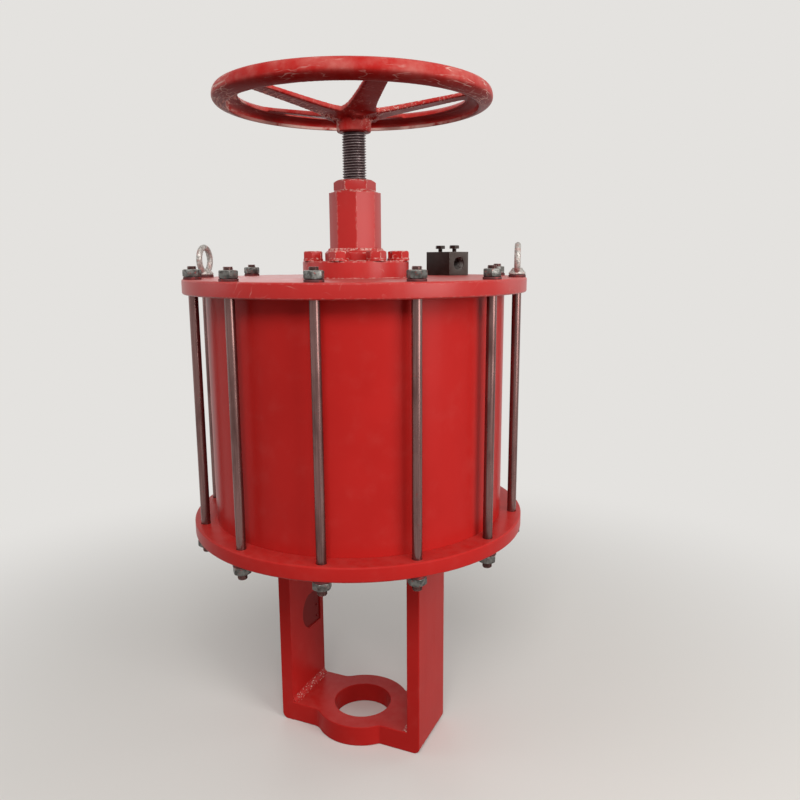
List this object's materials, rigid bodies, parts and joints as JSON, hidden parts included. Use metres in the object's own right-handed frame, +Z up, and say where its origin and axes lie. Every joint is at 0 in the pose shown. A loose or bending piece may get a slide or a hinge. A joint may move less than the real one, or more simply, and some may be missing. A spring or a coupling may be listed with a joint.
{
  "type": "pneumatic valve actuator with handwheel",
  "caption": "Tie-rod pneumatic cylinder on a two-legged yoke that strokes a linear valve, with a top drive screw and handwheel for manual override.",
  "frame": {"origin": "centre of the yoke foot's underside, on the screw's axis", "axes": "+Z up along the screw and piston rod, +X from the left leg to the right leg"},
  "size_m": [0.6079, 0.608, 1.1975],
  "materials": {
    "red_enamel": "gloss red machinery enamel, sprayed over the assembled unit, with chips, runs and dust",
    "rod_steel": "dull grey drawn steel bar with a light oil film",
    "nut_steel": "dull grey zinc-plated steel",
    "washer_maroon": "dark red-brown primed steel",
    "galvanised": "pale dull hot-dip galvanised forged steel",
    "black_iron": "dark brown-black oxidised steel",
    "piston_iron": "machined grey iron"
  },
  "bodies": {
    "root": {"yoke_foot": "red_enamel", "yoke_leg_left": "red_enamel", "yoke_leg_right": "red_enamel", "bottom_plate": "red_enamel", "rod_gland": "red_enamel", "gland_bolts": "nut_steel", "piston_rod": "rod_steel", "piston": "piston_iron", "piston_nut": "nut_steel", "cylinder_barrel": "red_enamel", "top_plate": "red_enamel", "tie_rod_01": "rod_steel", "tie_rod_02": "rod_steel", "tie_rod_03": "rod_steel", "tie_rod_04": "rod_steel", "tie_rod_05": "rod_steel", "tie_rod_06": "rod_steel", "tie_rod_07": "rod_steel", "tie_rod_08": "rod_steel", "tie_rod_09": "rod_steel", "tie_rod_10": "rod_steel", "tie_rod_11": "rod_steel", "tie_rod_12": "rod_steel", "top_nuts": "nut_steel", "top_washers": "washer_maroon", "bottom_nuts": "nut_steel", "bottom_washers": "washer_maroon", "eye_nut_right": "galvanised", "eye_nut_left": "galvanised", "screw_flange": "red_enamel", "screw_sleeve": "red_enamel", "flange_bolts": "red_enamel", "flange_washers": "red_enamel", "lock_nut": "red_enamel", "air_block": "black_iron", "air_block_screws": "black_iron"},
    "thrust_pad": {"thrust_pad": "nut_steel"},
    "screw_and_wheel": {"drive_screw": "rod_steel", "handwheel": "red_enamel", "wheel_key": "nut_steel", "wheel_keeper": "nut_steel", "keeper_screw": "nut_steel"}
  },
  "joints": [
    {"name": "screw_travel", "type": "slide", "parent": "root", "child": "thrust_pad", "axis": [0, 0, 1], "range_m": [-0.072, 0]},
    {"name": "handwheel_turn", "type": "hinge", "parent": "thrust_pad", "child": "screw_and_wheel", "pos_m": [0, 0, 1.1], "axis": [0, 0, 1], "range_deg": [-5760, 0]}
  ],
  "couplings": [
    {"joint": "screw_travel", "follows": "handwheel_turn", "m_per_rad": 0.0007162}
  ]
}
